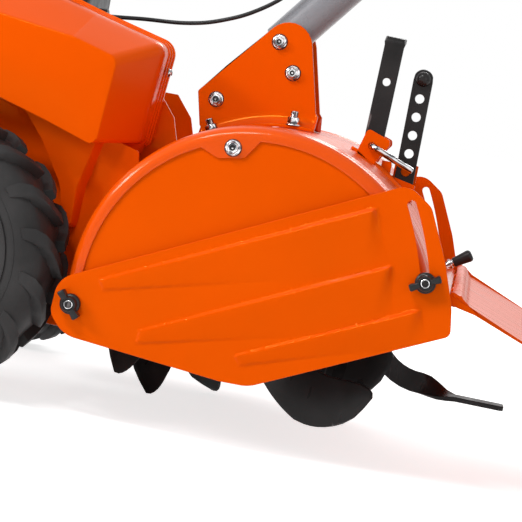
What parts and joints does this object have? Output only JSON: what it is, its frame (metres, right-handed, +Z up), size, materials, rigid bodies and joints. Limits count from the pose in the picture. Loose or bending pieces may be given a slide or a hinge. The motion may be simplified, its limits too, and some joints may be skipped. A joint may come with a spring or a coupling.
{
  "type": "rear tine tiller",
  "caption": "Walk-behind rear tine tiller with an engine, belt cover, lugged wheels, a hooded tine rotor, adjustable side shields, a rear flap and a depth stake.",
  "frame": {"origin": "on the ground, under the middle of the machine's overall length and width", "axes": "+X towards the rear, where the operator walks, +Y towards the machine's right side, +Z up"},
  "size_m": [1.52, 0.55, 1.0204],
  "materials": {
    "orange_enamel": "glossy orange enamel",
    "orange_moulding": "glossy orange moulding",
    "black_enamel": "satin black enamel on a casting",
    "gear_enamel": "satin black enamel on a casting",
    "cast_aluminium": "as cast",
    "plated_steel": "bright zinc plate",
    "dark_steel": "satin black paint on steel",
    "black_plastic": "satin black moulding",
    "tyre_rubber": "moulded black tyre",
    "belt_rubber": "matt black rubber",
    "grey_enamel": "satin grey enamel"
  },
  "bodies": {
    "chassis": {"gear_case": "gear_enamel", "main_frame": "orange_enamel", "front_bumper": "black_enamel", "engine_block": "cast_aluminium", "valve_cover": "plated_steel", "fan_shroud": "black_plastic", "recoil_cover": "black_plastic", "fuel_tank": "black_plastic", "carburetor": "plated_steel", "air_cleaner": "black_plastic", "muffler": "plated_steel", "muffler_guard": "black_plastic", "drive_belt": "belt_rubber", "belt_cover": "orange_moulding", "tine_hood": "orange_enamel", "left_side_plate": "orange_enamel", "right_side_plate": "orange_enamel", "left_bracket_plate": "orange_enamel", "right_bracket_plate": "orange_enamel", "flap_hinge_rod": "plated_steel", "stake_bracket": "orange_enamel", "handlebar_pivot_bolt": "plated_steel", "handlebar_lock_bolt": "plated_steel", "handlebar_column": "grey_enamel", "console": "orange_enamel", "handlebar_arms": "grey_enamel", "left_grip": "black_plastic", "right_grip": "black_plastic", "control_cable": "black_plastic"},
    "wheels": {"wheel_axle": "plated_steel", "left_rim": "orange_enamel", "right_rim": "orange_enamel", "left_tyre": "tyre_rubber", "right_tyre": "tyre_rubber"},
    "tines": {"tine_shaft": "plated_steel", "left_inner_tines": "dark_steel", "right_inner_tines": "dark_steel", "left_outer_tines": "dark_steel", "right_outer_tines": "dark_steel"},
    "engine_shaft": {"engine_pulley": "plated_steel"},
    "input_shaft": {"input_pulley": "plated_steel"},
    "idler": {"idler_pulley": "plated_steel"},
    "idler_swing_arm": {"idler_arm": "plated_steel"},
    "clutch_bail": {"clutch_lever": "dark_steel"},
    "shift": {"shift_lever": "dark_steel"},
    "throttle": {"throttle_lever": "black_plastic"},
    "starter": {"starter_handle": "black_plastic"},
    "tank_cap": {"fuel_cap": "black_plastic"},
    "dipstick": {"oil_dipstick": "black_plastic"},
    "left_shield": {"left_side_shield": "orange_enamel"},
    "right_shield": {"right_side_shield": "orange_enamel"},
    "left_front_wing_knob": {"left_front_knob": "black_plastic"},
    "right_front_wing_knob": {"right_front_knob": "black_plastic"},
    "left_rear_wing_knob": {"left_rear_knob": "black_plastic"},
    "right_rear_wing_knob": {"right_rear_knob": "black_plastic"},
    "flap": {"rear_flap": "orange_enamel"},
    "flap_latch": {"flap_latch_handle": "plated_steel"},
    "stake": {"depth_stake": "dark_steel"},
    "lock_lever": {"stake_lock_lever": "dark_steel"},
    "pin": {"lock_pin": "plated_steel"}
  },
  "joints": [
    {"name": "wheel_spin", "type": "hinge", "parent": "chassis", "child": "wheels", "pos_m": [-0.345, 0, 0.165], "axis": [0, 1, 0], "continuous": true},
    {"name": "tine_spin", "type": "hinge", "parent": "chassis", "child": "tines", "pos_m": [0.045, 0, 0.165], "axis": [0, 1, 0], "continuous": true},
    {"name": "input_shaft_spin", "type": "hinge", "parent": "chassis", "child": "input_shaft", "pos_m": [-0.215, -0.118, 0.41], "axis": [0, 1, 0], "continuous": true},
    {"name": "engine_shaft_spin", "type": "hinge", "parent": "chassis", "child": "engine_shaft", "pos_m": [-0.43, -0.118, 0.414], "axis": [0, 1, 0], "continuous": true},
    {"name": "clutch_lever_swing", "type": "hinge", "parent": "chassis", "child": "clutch_bail", "pos_m": [0.6, 0, 1], "axis": [0, -1, 0], "range_deg": [0, 6.5]},
    {"name": "idler_arm_swing", "type": "hinge", "parent": "chassis", "child": "idler_swing_arm", "pos_m": [-0.262, -0.0925, 0.372], "axis": [0, -1, 0], "range_deg": [0, 2.8]},
    {"name": "idler_spin", "type": "hinge", "parent": "idler_swing_arm", "child": "idler", "pos_m": [-0.33213, -0.118, 0.47833], "axis": [0, 1, 0], "continuous": true},
    {"name": "shift_lever_swing", "type": "hinge", "parent": "chassis", "child": "shift", "pos_m": [0.28218, 0, 0.86347], "axis": [0, 1, 0], "range_deg": [-20, 20]},
    {"name": "throttle_turn", "type": "hinge", "parent": "chassis", "child": "throttle", "pos_m": [-0.3287, 0.0303, 0.444], "axis": [0, 1, 0], "range_deg": [-4, 14]},
    {"name": "starter_pull", "type": "slide", "parent": "chassis", "child": "starter", "axis": [0, 0, 1], "range_m": [0, 0.07]},
    {"name": "fuel_cap_turn", "type": "hinge", "parent": "chassis", "child": "tank_cap", "pos_m": [-0.405, 0.04, 0.6173], "axis": [0, 0, 1], "continuous": true},
    {"name": "dipstick_turn", "type": "hinge", "parent": "chassis", "child": "dipstick", "pos_m": [-0.372, -0.0643, 0.336], "axis": [0, 1, 0], "continuous": true},
    {"name": "left_shield_swing", "type": "hinge", "parent": "chassis", "child": "left_shield", "pos_m": [-0.1564, -0.252, 0.1355], "axis": [0, 1, 0], "range_deg": [0, 11.5]},
    {"name": "right_shield_swing", "type": "hinge", "parent": "chassis", "child": "right_shield", "pos_m": [-0.1564, 0.252, 0.1355], "axis": [0, 1, 0], "range_deg": [0, 11.5]},
    {"name": "left_front_knob_turn", "type": "hinge", "parent": "chassis", "child": "left_front_wing_knob", "pos_m": [-0.1564, -0.2545, 0.1355], "axis": [0, 1, 0], "continuous": true},
    {"name": "left_rear_knob_turn", "type": "hinge", "parent": "chassis", "child": "left_rear_wing_knob", "pos_m": [0.2403, -0.2545, 0.2395], "axis": [0, 1, 0], "continuous": true},
    {"name": "right_front_knob_turn", "type": "hinge", "parent": "chassis", "child": "right_front_wing_knob", "pos_m": [-0.1564, 0.2545, 0.1355], "axis": [0, 1, 0], "continuous": true},
    {"name": "right_rear_knob_turn", "type": "hinge", "parent": "chassis", "child": "right_rear_wing_knob", "pos_m": [0.2403, 0.2545, 0.2395], "axis": [0, 1, 0], "continuous": true},
    {"name": "flap_swing", "type": "hinge", "parent": "chassis", "child": "flap", "pos_m": [0.2765, 0, 0.2225], "axis": [0, -1, 0], "range_deg": [-24, 40]},
    {"name": "flap_latch_turn", "type": "hinge", "parent": "chassis", "child": "flap_latch", "pos_m": [0.24285, 0, 0.2447], "axis": [0.9276, 0, 0.3737], "range_deg": [-90, 90]},
    {"name": "depth_stake_slide", "type": "slide", "parent": "chassis", "child": "stake", "axis": [0, 0, 1], "range_m": [-0.0468, 0.0234]},
    {"name": "lock_lever_swing", "type": "hinge", "parent": "chassis", "child": "lock_lever", "pos_m": [0.1385, -0.0195, 0.3755], "axis": [0, 1, 0], "range_deg": [-30, 6]},
    {"name": "lock_pin_pull", "type": "slide", "parent": "chassis", "child": "pin", "axis": [0, -1, 0], "range_m": [0, 0.035]}
  ],
  "couplings": [
    {"joint": "engine_shaft_spin", "follows": "input_shaft_spin", "ratio": 1.8302},
    {"joint": "idler_arm_swing", "follows": "clutch_lever_swing", "ratio": 0.43}
  ]
}
